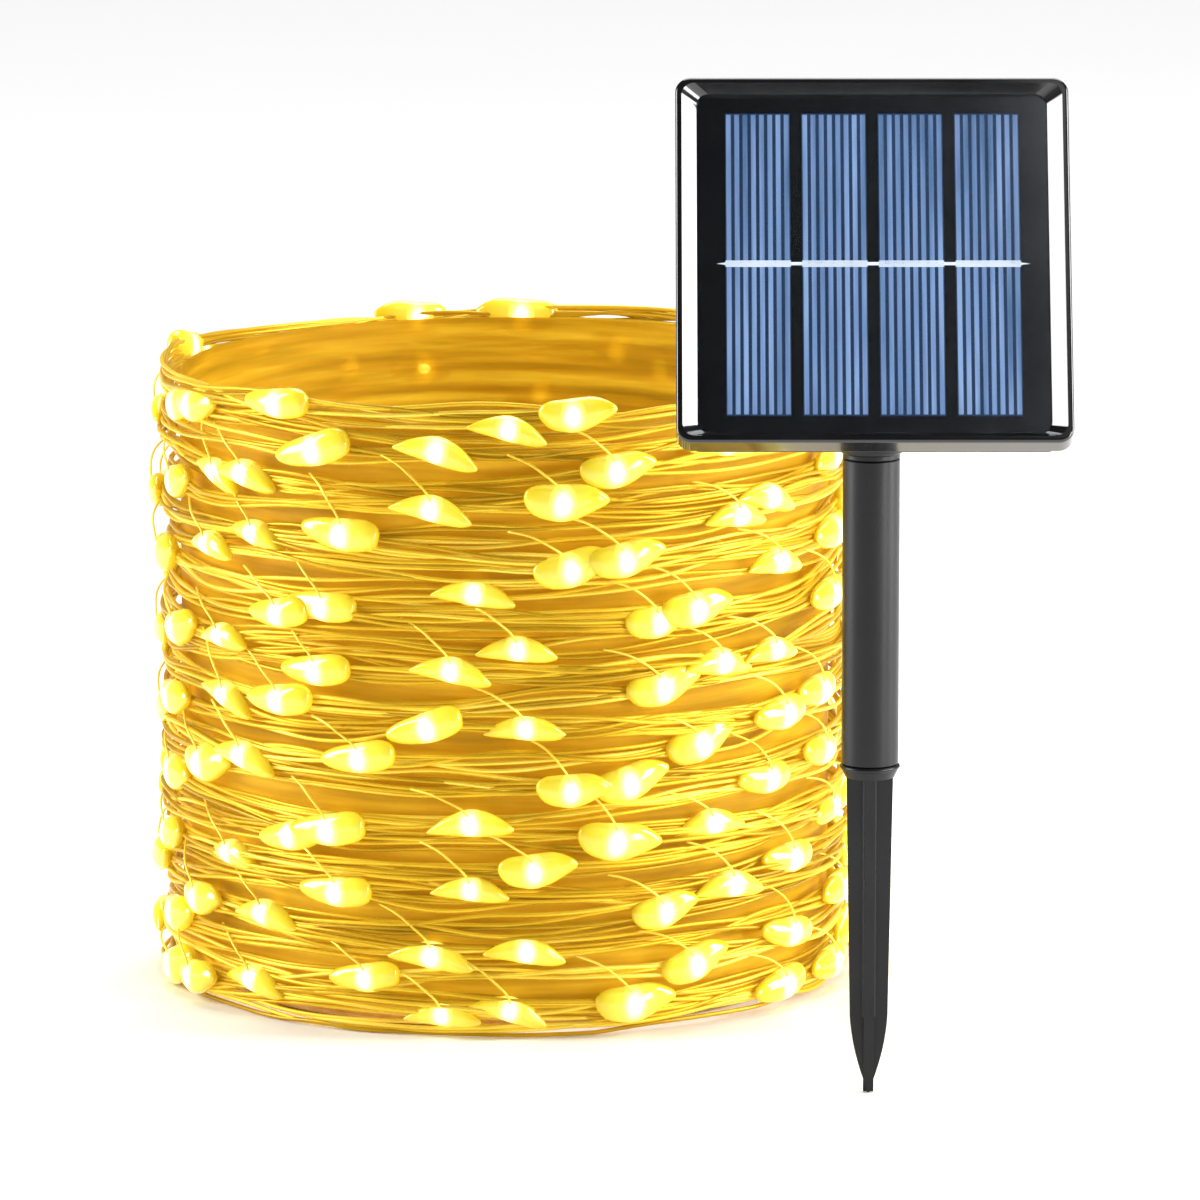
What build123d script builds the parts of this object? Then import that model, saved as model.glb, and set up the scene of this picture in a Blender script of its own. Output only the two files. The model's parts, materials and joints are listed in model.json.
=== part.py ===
"""Solar string lights: a solar head that tilts and swivels on a ground stake, with its coiled string.

Millimetres. The origin is the tip of the ground spike, +Z runs up the stake, and the panel faces -Y.
"""
from build123d import *
import math
import os

os.makedirs("parts", exist_ok=True)

# ---- Driving dimensions: the stake, measured up from the tip of its spike
nib_height = 2.6
nib_radius = 1.0
point_height = 20.0
point_radius = 4.85
spike_top = 82.9
spike_top_radius = 5.95
rib_thickness = 2.7
spike_core_radius = 2.3
flange_top = 86.2
flange_foot_radius = 6.3
flange_neck_radius = 7.2
flange_radius = 7.75
tube_top = 165.8
tube_radius = 7.3
tube_bore_radius = 5.85
plug_radius = 5.83
plug_length = 15.0
edge_break = 1.0

# ---- The swivel bracket
peg_radius = 5.80
peg_length = 18.0
collar_gap = 0.15
collar_radius = 8.5
collar_height = 4.3
arm_width = 12.0
arm_depth = 9.0
pivot_height = 188.6
knuckle_radius = 6.0
pivot_hole_radius = 2.05
clip_centre_y = 15.0
clip_bottom = 171.5
clip_height = 4.0
clip_wall = 1.4
clip_mouth = 2.0
clip_clearance = 0.25

# ---- The head, in its own frame: X right, Y up the panel, Z out of its face, zero at the rim
recline = 31.7
head_width = 100.0
corner_radius = 4.0
pivot_below_centre = 20.0
pivot_behind_rim = 25.0
rim_width = 1.6
bevel_side = 3.8
bevel_end = 1.9
bevel_depth = 3.0
cover_corner = 2.8
frame_depth = 6.8
shelf_thickness = 1.2
window_width = 78.0
fit_gap = 0.2
cover_thickness = 1.0
ribbon_thickness = 0.15
cell_thickness = 0.2
board_thickness = 1.2
cell_width = 16.5
cell_length = 83.0
cell_pitch = 19.4
cell_count = 4
ribbon_width = 1.7
ribbon_bridge = 0.8
ribbon_length = 79.0
ribbon_point = 3.0

housing_width = 95.0
housing_wall = 2.6
housing_back = 15.0
floor_thickness = 2.0
seal_width = 1.2
seal_depth = 1.0
housing_seal_corner = 2.8
screw_spacing = 80.0
frame_boss_radius = 3.0
boss_radius = 4.0
boss_level = 10.5
counterbore_level = 12.5
pilot_radius = 1.0
screw_hole_radius = 1.4
screw_head_radius = 2.4
screw_head_height = 1.8

# ---- The battery compartment, which bulges from the back of the housing
battery_y = 18.5
battery_radius = 7.1
battery_length = 49.2
battery_nub_radius = 2.7
battery_nub_length = 1.0
battery_level = 15.6
compartment_length = 57.0
compartment_width = 16.0
compartment_top = 8.2
compartment_wall = 2.0
bulge_length = 70.0
bulge_width = 22.0
bulge_corner = 5.0
bulge_back = 23.5
battery_cover_thickness = 1.5
cover_seal_margin = 1.3
cover_seal_width = 1.0
cover_seal_depth = 0.8
cover_screw_x = 32.4
cover_screw_radius = 0.9
cover_screw_length = 6.0
cover_screw_head_radius = 1.7
cover_screw_head = 0.8
contact_size = 10.0
contact_thickness = 0.5
spring_wire = 0.7

# ---- The electronics
main_board_centre = (-16.0, -23.0)
main_board_size = (44.0, 30.0)
main_board_back = 8.2
main_board_thickness = 1.4
post_inset = 3.0
post_radius = 2.2
pin_radius = 0.9
button_y = -24.0
button_x = (-32.0, -19.0)
button_radius = 3.4
button_flange_radius = 4.5
button_flange_thickness = 0.8
button_travel = 0.8
button_proud = 1.3
switch_size = 6.0
switch_height = 3.0
plunger_radius = 1.6

# ---- The hinge between the head and the bracket
ear_gap = 0.15
ear_thickness = 3.3
ear_radius = 6.0
ear_root_width = 18.0
tilt_screw_radius = 2.0
tilt_head_radius = 3.8
tilt_head_height = 2.4
washer_thickness = 0.8
washer_radius = 4.5
nut_across_flats = 7.0
nut_thickness = 3.2

# ---- The lead and the string
lead_diameter = 2.6
gland_y = -4.0
gland_length = 10.0
gland_socket = 3.0
gland_flange_radius = 4.3
gland_flange = 1.2
gland_neck_radius = 3.0
coil_centre = (-94.8, 150.4)
wire_outer_radius = 95.0
wire_inner_radius = 88.0
coil_height = 168.0
sleeve_outer_radius = 87.6
sleeve_wall = 0.4
sleeve_bottom = 5.0
sleeve_top = 164.0
drop_count = 200
drops_per_turn = 5.75
drop_length = 18.0
drop_radius = 4.5
drop_ring_radius = 92.5
first_drop_height = 6.5
last_drop_height = 162.0
lead_turns_outer = 83.3
lead_turns_inner = 76.2
splice_radius = 1.9
splice_length = 22.0
splice_ring_radius = 74.2
splice_angle = 351.0

# ---- Frames and axes worked out from those
pivot = Vector(0, 0, pivot_height)
panel_up = Vector(0, math.sin(math.radians(recline)), math.cos(math.radians(recline)))
panel_out = Vector(0, -math.cos(math.radians(recline)), math.sin(math.radians(recline)))
head_origin = pivot + panel_up * pivot_below_centre + panel_out * pivot_behind_rim
head = Plane(origin=head_origin, x_dir=(1, 0, 0), z_dir=panel_out)
head_axis = Axis(head_origin, panel_out)
ear_plane = Plane(origin=pivot, x_dir=panel_up, z_dir=(1, 0, 0))
recess_width = head_width - 2 * (rim_width + bevel_side)
recess_height = head_width - 2 * (rim_width + bevel_end)
cover_width = recess_width - 2 * fit_gap
cover_height = recess_height - 2 * fit_gap
ribbon_level = bevel_depth + cover_thickness
cell_level = ribbon_level + ribbon_thickness
board_level = cell_level + cell_thickness
shelf_level = frame_depth - shelf_thickness
floor_level = housing_back - floor_thickness
cavity_width = housing_width - 2 * housing_wall
post_spacing = (main_board_size[0] - 2 * post_inset, main_board_size[1] - 2 * post_inset)
cover_level = bulge_back + battery_cover_thickness
cell_xs = [(number - (cell_count - 1) / 2) * cell_pitch for number in range(cell_count)]


def profile_plane(x, y):
    """A plane through a point of the head: its X runs across the head and its Y out of the face."""
    return Plane(origin=head.from_local_coords((x, y, 0)), x_dir=(1, 0, 0), z_dir=panel_up * -1)


def turning_axis(x, y):
    """The axis through a point of the head that runs out of its face."""
    return Axis(head.from_local_coords((x, y, 0)), panel_out)


def rounded_ring(length, width, corner, ring_width):
    """A rounded rectangular ring about its middle line, drawn in the sketch that is open."""
    RectangleRounded(length + ring_width, width + ring_width, corner + ring_width / 2)
    RectangleRounded(length - ring_width, width - ring_width, corner - ring_width / 2, mode=Mode.SUBTRACT)


def housing_seal_ring():
    """The seal between the frame and the housing, halfway through the housing's wall."""
    middle = cavity_width + housing_wall
    rounded_ring(middle, middle, housing_seal_corner, seal_width)


def cover_seal_ring():
    """The seal under the battery cover, round the mouth of the compartment."""
    with Locations((0, battery_y)):
        rounded_ring(compartment_length + 2 * cover_seal_margin, compartment_width + 2 * cover_seal_margin,
                     cover_seal_margin, cover_seal_width)


# ================================================================ the stake
with BuildPart() as ground_spike:
    # two crossed blades share one outline: a nib, a rounded point and a slow taper
    for blade_plane in (Plane.XZ, Plane.YZ):
        with BuildSketch(blade_plane):
            with BuildLine():
                Polyline((0, spike_top), (0, 0), (0.3, 0), (nib_radius, nib_height))
                ThreePointArc((nib_radius, nib_height), (3.2, 9.6), (point_radius, point_height))
                Polyline((point_radius, point_height), (spike_top_radius, spike_top), (0, spike_top))
            make_face()
            mirror(about=Plane.YZ)
        extrude(amount=rib_thickness / 2, both=True)
    with BuildSketch(Plane.XY.offset(point_height)):
        Circle(spike_core_radius)
    extrude(amount=spike_top - point_height)
    # the flange that the tube stands on, flared below and beaded above
    with BuildSketch(Plane.XZ):
        with BuildLine():
            Polyline(
                (0, spike_top),
                (flange_foot_radius, spike_top),
                (flange_neck_radius, spike_top + 1.9),
                (flange_neck_radius, spike_top + 2.2),
            )
            ThreePointArc((flange_neck_radius, spike_top + 2.2), (flange_radius, spike_top + 2.75),
                          (flange_neck_radius, flange_top))
            Polyline(
                (flange_neck_radius, flange_top),
                (plug_radius, flange_top),
                (plug_radius, flange_top + plug_length - edge_break),
                (plug_radius - edge_break, flange_top + plug_length),
                (0, flange_top + plug_length),
                (0, spike_top),
            )
        make_face()
    revolve(axis=Axis.Z)
ground_spike.part.label = "ground_spike"
export_step(ground_spike.part, "parts/ground_spike.step")

with BuildPart() as stake_tube:
    with BuildSketch(Plane.XY.offset(flange_top)):
        Circle(tube_radius)
        Circle(tube_bore_radius, mode=Mode.SUBTRACT)
    extrude(amount=tube_top - flange_top)
    outer_rims = stake_tube.edges().filter_by(GeomType.CIRCLE).filter_by(
        lambda edge: edge.radius > tube_bore_radius + 1)
    chamfer(outer_rims, length=0.4)
stake_tube.part.label = "stake_tube"
export_step(stake_tube.part, "parts/stake_tube.step")

# ================================================================ the swivel bracket
collar_bottom = tube_top + collar_gap
collar_top = collar_bottom + collar_height
with BuildPart() as swivel_bracket:
    with BuildSketch(Plane.XY.offset(tube_top - peg_length)):
        Circle(peg_radius)
    extrude(amount=peg_length + collar_gap)
    with BuildSketch(Plane.XZ):
        with BuildLine():
            Polyline((0, collar_bottom), (tube_radius, collar_bottom), (tube_radius, collar_bottom + 1.0))
            ThreePointArc((tube_radius, collar_bottom + 1.0), (collar_radius - 0.3, collar_bottom + 1.7),
                          (collar_radius, collar_bottom + 2.8))
            Polyline((collar_radius, collar_bottom + 2.8), (collar_radius - 0.8, collar_top),
                     (0, collar_top), (0, collar_bottom))
        make_face()
    revolve(axis=Axis.Z)
    # the arm and its knuckle, seen from the side
    with BuildSketch(Plane.YZ.offset(-arm_width / 2)):
        with Locations((0, pivot_height)):
            Circle(knuckle_radius)
        with Locations((0, (collar_top + pivot_height) / 2)):
            Rectangle(arm_depth, pivot_height - collar_top)
        with Locations((0, pivot_height)):
            Circle(pivot_hole_radius, mode=Mode.SUBTRACT)
    extrude(amount=arm_width)
    # the clip that holds the lead behind the arm
    with BuildSketch(Plane.XY.offset(clip_bottom)):
        with Locations((0, clip_centre_y)):
            Circle(lead_diameter / 2 + clip_clearance + clip_wall)
        with Locations((0, (arm_depth / 2 + clip_centre_y) / 2)):
            Rectangle(2.4, clip_centre_y - arm_depth / 2)
        with Locations((0, clip_centre_y)):
            Circle(lead_diameter / 2 + clip_clearance, mode=Mode.SUBTRACT)
        with Locations((0, clip_centre_y + lead_diameter)):
            Rectangle(clip_mouth, 2 * lead_diameter, mode=Mode.SUBTRACT)
    extrude(amount=clip_height)
swivel_bracket.part.label = "swivel_bracket"
export_step(swivel_bracket.part, "parts/swivel_bracket.step")

# ================================================================ the front of the head
with BuildPart() as front_frame:
    with BuildSketch(head.offset(-frame_depth)):
        RectangleRounded(head_width, head_width, corner_radius)
    extrude(amount=frame_depth)
    fillet(front_frame.faces().sort_by(head_axis)[-1].outer_wire().edges(), radius=0.9)
    fillet(front_frame.faces().sort_by(head_axis)[0].outer_wire().edges(), radius=0.5)
    # the bevelled recess, the pocket of the panel, and the window behind it
    with BuildSketch(head.offset(-bevel_depth)):
        RectangleRounded(recess_width, recess_height, cover_corner + fit_gap)
    with BuildSketch(head):
        RectangleRounded(head_width - 2 * rim_width, head_width - 2 * rim_width, 3.4)
    loft(mode=Mode.SUBTRACT)
    with BuildSketch(head.offset(-bevel_depth)):
        RectangleRounded(recess_width, recess_height, cover_corner + fit_gap)
    extrude(amount=bevel_depth - shelf_level, mode=Mode.SUBTRACT)
    with BuildSketch(head.offset(-frame_depth)):
        RectangleRounded(window_width, window_width, 2.0)
    extrude(amount=shelf_thickness, mode=Mode.SUBTRACT)
    # the four bosses that the housing screws bite into
    with BuildSketch(head.offset(-frame_depth)):
        with GridLocations(screw_spacing, screw_spacing, 2, 2):
            Circle(frame_boss_radius)
    extrude(amount=frame_depth - boss_level)
    with BuildSketch(head.offset(-boss_level)):
        with GridLocations(screw_spacing, screw_spacing, 2, 2):
            Circle(pilot_radius)
    extrude(amount=boss_level - shelf_level - 0.5, mode=Mode.SUBTRACT)
front_frame.part.label = "front_frame"
export_step(front_frame.part, "parts/front_frame.step")

with BuildPart() as panel_cover:
    with BuildSketch(head.offset(-bevel_depth)):
        RectangleRounded(cover_width, cover_height, cover_corner)
    extrude(amount=-cover_thickness)
panel_cover.part.label = "panel_cover"
export_step(panel_cover.part, "parts/panel_cover.step")

with BuildPart() as busbar_ribbon:
    with BuildSketch(head.offset(-ribbon_level)):
        Rectangle(ribbon_length - 2 * ribbon_point + 2, ribbon_bridge)
        for cell_x in cell_xs:
            with Locations((cell_x, 0)):
                Rectangle(cell_width, ribbon_width)
        # pointed ends
        with BuildLine():
            Polyline((ribbon_length / 2 - ribbon_point, ribbon_bridge / 2), (ribbon_length / 2, 0),
                     (ribbon_length / 2 - ribbon_point, -ribbon_bridge / 2), close=True)
        make_face()
        mirror(about=Plane.YZ)
    extrude(amount=-ribbon_thickness)
busbar_ribbon.part.label = "busbar_ribbon"
export_step(busbar_ribbon.part, "parts/busbar_ribbon.step")

with BuildPart() as solar_cells:
    with BuildSketch(head.offset(-cell_level)):
        with GridLocations(cell_pitch, 0, cell_count, 1):
            Rectangle(cell_width, cell_length)
    extrude(amount=-cell_thickness)
solar_cells.part.label = "solar_cells"
export_step(solar_cells.part, "parts/solar_cells.step")

with BuildPart() as panel_board:
    with BuildSketch(head.offset(-board_level)):
        RectangleRounded(cover_width, cover_height, cover_corner)
    extrude(amount=-board_thickness)
panel_board.part.label = "panel_board"
export_step(panel_board.part, "parts/panel_board.step")

# ================================================================ the back of the head
with BuildPart() as rear_housing:
    with BuildSketch(head.offset(-frame_depth)):
        RectangleRounded(housing_width, housing_width, corner_radius)
    extrude(amount=frame_depth - housing_back)
    fillet(rear_housing.faces().sort_by(head_axis)[0].outer_wire().edges(), radius=2.0)
    with BuildSketch(head.offset(-frame_depth)):
        RectangleRounded(cavity_width, cavity_width, 2.0)
    extrude(amount=frame_depth - floor_level, mode=Mode.SUBTRACT)
    with BuildSketch(head.offset(-frame_depth)):
        housing_seal_ring()
    extrude(amount=-seal_depth, mode=Mode.SUBTRACT)
    # the battery bulge outside, and the closed compartment inside
    with BuildSketch(head.offset(-housing_back)):
        with Locations((0, battery_y)):
            RectangleRounded(bulge_length, bulge_width, bulge_corner)
    extrude(amount=housing_back - bulge_back)
    with BuildSketch(head.offset(-floor_level)):
        with Locations((0, battery_y)):
            Rectangle(compartment_length + 2 * compartment_wall, compartment_width + 2 * compartment_wall)
    extrude(amount=floor_level - compartment_top + 1.2)
    with BuildSketch(head.offset(-bulge_back)):
        with Locations((0, battery_y)):
            Rectangle(compartment_length, compartment_width)
    extrude(amount=bulge_back - compartment_top, mode=Mode.SUBTRACT)
    with BuildSketch(head.offset(-bulge_back)):
        cover_seal_ring()
    extrude(amount=cover_seal_depth, mode=Mode.SUBTRACT)
    with BuildSketch(head.offset(-bulge_back)):
        with Locations((-cover_screw_x, battery_y), (cover_screw_x, battery_y)):
            Circle(cover_screw_radius)
    extrude(amount=cover_screw_length, mode=Mode.SUBTRACT)
    # the corner bosses, with holes and counterbores for the housing screws
    with BuildSketch(head.offset(-floor_level)):
        with GridLocations(screw_spacing, screw_spacing, 2, 2):
            Circle(boss_radius)
    extrude(amount=floor_level - boss_level)
    with BuildSketch(head.offset(-housing_back)):
        with GridLocations(screw_spacing, screw_spacing, 2, 2):
            Circle(screw_hole_radius)
    extrude(amount=housing_back - boss_level, mode=Mode.SUBTRACT)
    with BuildSketch(head.offset(-housing_back)):
        with GridLocations(screw_spacing, screw_spacing, 2, 2):
            Circle(screw_head_radius + 0.2)
    extrude(amount=housing_back - counterbore_level, mode=Mode.SUBTRACT)
    # the posts that carry the main board, each with a pin through it
    with BuildSketch(head.offset(-floor_level)):
        with Locations(main_board_centre):
            with GridLocations(*post_spacing, 2, 2):
                Circle(post_radius)
    extrude(amount=floor_level - main_board_back)
    with BuildSketch(head.offset(-main_board_back)):
        with Locations(main_board_centre):
            with GridLocations(*post_spacing, 2, 2):
                Circle(pin_radius)
    extrude(amount=main_board_thickness + 0.3)
    # holes for the buttons and the gland
    with BuildSketch(head.offset(-housing_back)):
        with Locations(*[(x, button_y) for x in button_x]):
            Circle(button_radius + 0.1)
        with Locations((0, gland_y)):
            Circle(gland_neck_radius)
    extrude(amount=floor_thickness, mode=Mode.SUBTRACT)
    # the two ears of the tilt hinge
    for ear_start in (arm_width / 2 + ear_gap, -arm_width / 2 - ear_gap - ear_thickness):
        with BuildSketch(ear_plane.offset(ear_start)):
            Circle(ear_radius)
            with Locations((0, pivot_behind_rim - housing_back + 0.5)):
                Rectangle(ear_root_width, 1.0)
            make_hull()
            Circle(pivot_hole_radius, mode=Mode.SUBTRACT)
        extrude(amount=ear_thickness)
rear_housing.part.label = "rear_housing"
export_step(rear_housing.part, "parts/rear_housing.step")

with BuildPart() as housing_seal:
    with BuildSketch(head.offset(-frame_depth)):
        housing_seal_ring()
    extrude(amount=-seal_depth)
housing_seal.part.label = "housing_seal"
export_step(housing_seal.part, "parts/housing_seal.step")

with BuildPart() as housing_screws:
    with BuildSketch(head.offset(-counterbore_level)):
        with GridLocations(screw_spacing, screw_spacing, 2, 2):
            Circle(screw_head_radius)
    extrude(amount=-screw_head_height)
    with BuildSketch(head.offset(-counterbore_level)):
        with GridLocations(screw_spacing, screw_spacing, 2, 2):
            Circle(pilot_radius)
    extrude(amount=counterbore_level - shelf_level - 1.0)
    # the cross recess in each head
    with BuildSketch(head.offset(-counterbore_level - screw_head_height)):
        with GridLocations(screw_spacing, screw_spacing, 2, 2):
            Rectangle(2.6, 0.6)
            Rectangle(0.6, 2.6)
    extrude(amount=1.0, mode=Mode.SUBTRACT)
housing_screws.part.label = "housing_screws"
export_step(housing_screws.part, "parts/housing_screws.step")

# ================================================================ the battery and its cover
battery_plane = Plane(origin=head.from_local_coords((0, battery_y, -battery_level)),
                      x_dir=(1, 0, 0), z_dir=panel_out)
battery_axis = Axis(battery_plane.origin, (1, 0, 0))
can_half = battery_length / 2
with BuildPart() as battery_cell:
    with BuildSketch(battery_plane):
        with BuildLine():
            Polyline((-can_half, 0), (-can_half, battery_radius - 0.8), (-can_half + 0.8, battery_radius),
                     (can_half - 0.8, battery_radius), (can_half, battery_radius - 0.8),
                     (can_half, battery_nub_radius), (can_half + battery_nub_length, battery_nub_radius),
                     (can_half + battery_nub_length, 0), close=True)
        make_face()
    revolve(axis=battery_axis)
battery_cell.part.label = "battery_cell"
export_step(battery_cell.part, "parts/battery_cell.step")

compartment_half = compartment_length / 2
with BuildPart() as battery_contacts:
    for contact_x in (-compartment_half, compartment_half - contact_thickness):
        with BuildSketch(Plane(origin=battery_plane.origin + Vector(contact_x, 0, 0),
                               x_dir=panel_up, z_dir=(1, 0, 0))):
            RectangleRounded(contact_size, contact_size, 1.0)
        extrude(amount=contact_thickness)
    # the pressed dimple that meets the nub of the cell
    dimple_length = compartment_half - contact_thickness - can_half - battery_nub_length
    with BuildSketch(Plane(origin=battery_plane.origin + Vector(can_half + battery_nub_length, 0, 0),
                           x_dir=panel_up, z_dir=(1, 0, 0))):
        Circle(2.0)
    extrude(amount=dimple_length)
battery_contacts.part.label = "battery_contacts"
export_step(battery_contacts.part, "parts/battery_contacts.step")

spring_length = compartment_half - contact_thickness - can_half - spring_wire
spring_start = battery_plane.origin + Vector(-can_half - spring_wire / 2, 0, 0)
with BuildPart() as contact_spring:
    with BuildLine() as spring_path:
        Helix(pitch=spring_length / 3, height=spring_length, radius=3.0, center=spring_start,
              direction=(-1, 0, 0))
    with BuildSketch(Plane(origin=spring_path.line @ 0, z_dir=spring_path.line % 0)):
        Circle(spring_wire / 2)
    sweep(is_frenet=True)
contact_spring.part.label = "contact_spring"
export_step(contact_spring.part, "parts/contact_spring.step")

with BuildPart() as battery_cover:
    with BuildSketch(head.offset(-bulge_back)):
        with Locations((0, battery_y)):
            RectangleRounded(bulge_length, bulge_width, bulge_corner)
    extrude(amount=-battery_cover_thickness)
    fillet(battery_cover.faces().sort_by(head_axis)[0].outer_wire().edges(), radius=0.8)
    with BuildSketch(head.offset(-cover_level)):
        with Locations((-cover_screw_x, battery_y), (cover_screw_x, battery_y)):
            Circle(cover_screw_radius + 0.2)
    extrude(amount=battery_cover_thickness, mode=Mode.SUBTRACT)
    with BuildSketch(head.offset(-cover_level)):
        with Locations((-cover_screw_x, battery_y), (cover_screw_x, battery_y)):
            Circle(cover_screw_head_radius + 0.2)
    extrude(amount=cover_screw_head, mode=Mode.SUBTRACT)
    # the grip ribs that the thumb pulls it by
    with BuildSketch(head.offset(-cover_level)):
        with Locations((0, battery_y)):
            with GridLocations(2.4, 0, 7, 1):
                Rectangle(1.0, 12.0)
    extrude(amount=-0.5)
battery_cover.part.label = "battery_cover"
export_step(battery_cover.part, "parts/battery_cover.step")

with BuildPart() as battery_cover_seal:
    with BuildSketch(head.offset(-bulge_back)):
        cover_seal_ring()
    extrude(amount=cover_seal_depth)
battery_cover_seal.part.label = "battery_cover_seal"
export_step(battery_cover_seal.part, "parts/battery_cover_seal.step")

with BuildPart() as battery_cover_screws:
    with BuildSketch(head.offset(-cover_level)):
        with Locations((-cover_screw_x, battery_y), (cover_screw_x, battery_y)):
            Circle(cover_screw_head_radius)
    extrude(amount=cover_screw_head)
    with BuildSketch(head.offset(-cover_level + cover_screw_head)):
        with Locations((-cover_screw_x, battery_y), (cover_screw_x, battery_y)):
            Circle(cover_screw_radius)
    extrude(amount=cover_screw_length)
    with BuildSketch(head.offset(-cover_level)):
        with Locations((-cover_screw_x, battery_y), (cover_screw_x, battery_y)):
            Rectangle(2.0, 0.5)
            Rectangle(0.5, 2.0)
    extrude(amount=0.5, mode=Mode.SUBTRACT)
battery_cover_screws.part.label = "battery_cover_screws"
export_step(battery_cover_screws.part, "parts/battery_cover_screws.step")

# ================================================================ the electronics
with BuildPart() as main_board:
    with BuildSketch(head.offset(-main_board_back)):
        with Locations(main_board_centre):
            RectangleRounded(*main_board_size, 1.0)
            with GridLocations(*post_spacing, 2, 2):
                Circle(pin_radius + 0.1, mode=Mode.SUBTRACT)
    extrude(amount=main_board_thickness)
main_board.part.label = "main_board"
export_step(main_board.part, "parts/main_board.step")

with BuildPart() as tact_switches:
    with BuildSketch(head.offset(-main_board_back)):
        with Locations(*[(x, button_y) for x in button_x]):
            Rectangle(switch_size, switch_size)
    extrude(amount=-switch_height)
    with BuildSketch(head.offset(-main_board_back - switch_height)):
        with Locations(*[(x, button_y) for x in button_x]):
            Circle(plunger_radius + 0.1)
    extrude(amount=2.0, mode=Mode.SUBTRACT)
tact_switches.part.label = "tact_switches"
export_step(tact_switches.part, "parts/tact_switches.step")

with BuildPart() as board_components:
    # controller chip, its capacitors, a round choke, and the two plug headers
    for place, size, height in (
        ((-5.0, -20.0), (5.0, 4.0), 1.5),
        ((-5.0, -26.5), (2.0, 1.3), 0.8),
        ((-9.5, -26.5), (2.0, 1.3), 0.8),
        ((-24.0, -13.5), (7.5, 4.5), 3.6),
        ((-12.0, -13.5), (5.0, 4.5), 3.6),
    ):
        with BuildSketch(head.offset(-main_board_back)):
            with Locations(place):
                Rectangle(*size)
        extrude(amount=-height)
    with BuildSketch(head.offset(-main_board_back)):
        with Locations((-2.0, -33.0)):
            Circle(2.9)
    extrude(amount=-3.0)
board_components.part.label = "board_components"
export_step(board_components.part, "parts/board_components.step")

flange_level = floor_level - 0.05
for x, button_name in zip(button_x, ("power_button", "mode_button")):
    with BuildPart() as button:
        with BuildSketch(profile_plane(x, button_y)):
            with BuildLine():
                Polyline(
                    (0, -flange_level + button_flange_thickness + 1.8),
                    (plunger_radius, -flange_level + button_flange_thickness + 1.8),
                    (plunger_radius, -flange_level + button_flange_thickness),
                    (button_flange_radius, -flange_level + button_flange_thickness),
                    (button_flange_radius, -flange_level),
                    (button_radius, -flange_level),
                    (button_radius, -housing_back - button_proud + 0.5),
                    (button_radius - 0.5, -housing_back - button_proud),
                    (2.3, -housing_back - button_proud),
                    (2.0, -housing_back - button_proud + 0.3),
                    (0, -housing_back - button_proud + 0.3),
                    close=True,
                )
            make_face()
        revolve(axis=turning_axis(x, button_y))
    button.part.label = button_name
    export_step(button.part, f"parts/{button_name}.step")


def wires(routes, radius):
    """Round wires along straight runs joined by arcs, as one group of solids."""
    with BuildPart() as group:
        for route in routes:
            corners = [head.from_local_coords(point) for point in route]
            with BuildLine():
                centre_line = FilletPolyline(*corners, radius=1.6)
            with BuildSketch(Plane(origin=centre_line @ 0, z_dir=centre_line % 0)):
                Circle(radius)
            sweep(path=centre_line)
    return group


wire_radius = 0.55
panel_back = -board_level - board_thickness
# from the back of the panel down to the top of the main board
panel_leads = wires(
    [
        [(x, -2.0, panel_back), (x, -2.0, -9.8), (x, -6.5, -10.2), (x, -11.1, -10.2)]
        for x in (-26.0, -22.0)
    ],
    wire_radius,
)
panel_leads.part.label = "panel_leads"
export_step(panel_leads.part, "parts/panel_leads.step")

# from the contact plates, over the floor of the housing, to the second header
battery_leads = wires(
    [
        [(x, battery_y - compartment_width / 2 - compartment_wall, -10.4), (x, 2.0, -10.4),
         (near, -3.5, -10.4), (near, -11.2, -10.4)]
        for x, near in ((-18.0, -13.4), (-8.0, -10.6))
    ],
    wire_radius,
)
battery_leads.part.label = "battery_leads"
export_step(battery_leads.part, "parts/battery_leads.step")

# ================================================================ the tilt screw
ear_outer = arm_width / 2 + ear_gap + ear_thickness
with BuildPart() as tilt_screw:
    with BuildSketch(ear_plane.offset(-ear_outer - washer_thickness)):
        Circle(tilt_screw_radius)
    extrude(amount=2 * (ear_outer + washer_thickness) + nut_thickness + 0.8)
    with BuildSketch(ear_plane.offset(-ear_outer - washer_thickness)):
        Circle(tilt_head_radius)
    extrude(amount=-tilt_head_height)
    fillet(tilt_screw.faces().sort_by(Axis.X)[0].edges(), radius=1.2)
    with BuildSketch(ear_plane.offset(-ear_outer - washer_thickness - tilt_head_height)):
        Rectangle(4.2, 0.9)
        Rectangle(0.9, 4.2)
    extrude(amount=1.2, mode=Mode.SUBTRACT)
tilt_screw.part.label = "tilt_screw"
export_step(tilt_screw.part, "parts/tilt_screw.step")

with BuildPart() as tilt_nut:
    with BuildSketch(ear_plane.offset(ear_outer + washer_thickness)):
        RegularPolygon(nut_across_flats / 2, 6, major_radius=False)
        Circle(tilt_screw_radius, mode=Mode.SUBTRACT)
    extrude(amount=nut_thickness)
tilt_nut.part.label = "tilt_nut"
export_step(tilt_nut.part, "parts/tilt_nut.step")

with BuildPart() as tilt_washers:
    for washer_start in (ear_outer, -ear_outer - washer_thickness):
        with BuildSketch(ear_plane.offset(washer_start)):
            Circle(washer_radius)
            Circle(tilt_screw_radius + 0.1, mode=Mode.SUBTRACT)
        extrude(amount=washer_thickness)
tilt_washers.part.label = "tilt_washers"
export_step(tilt_washers.part, "parts/tilt_washers.step")

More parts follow.
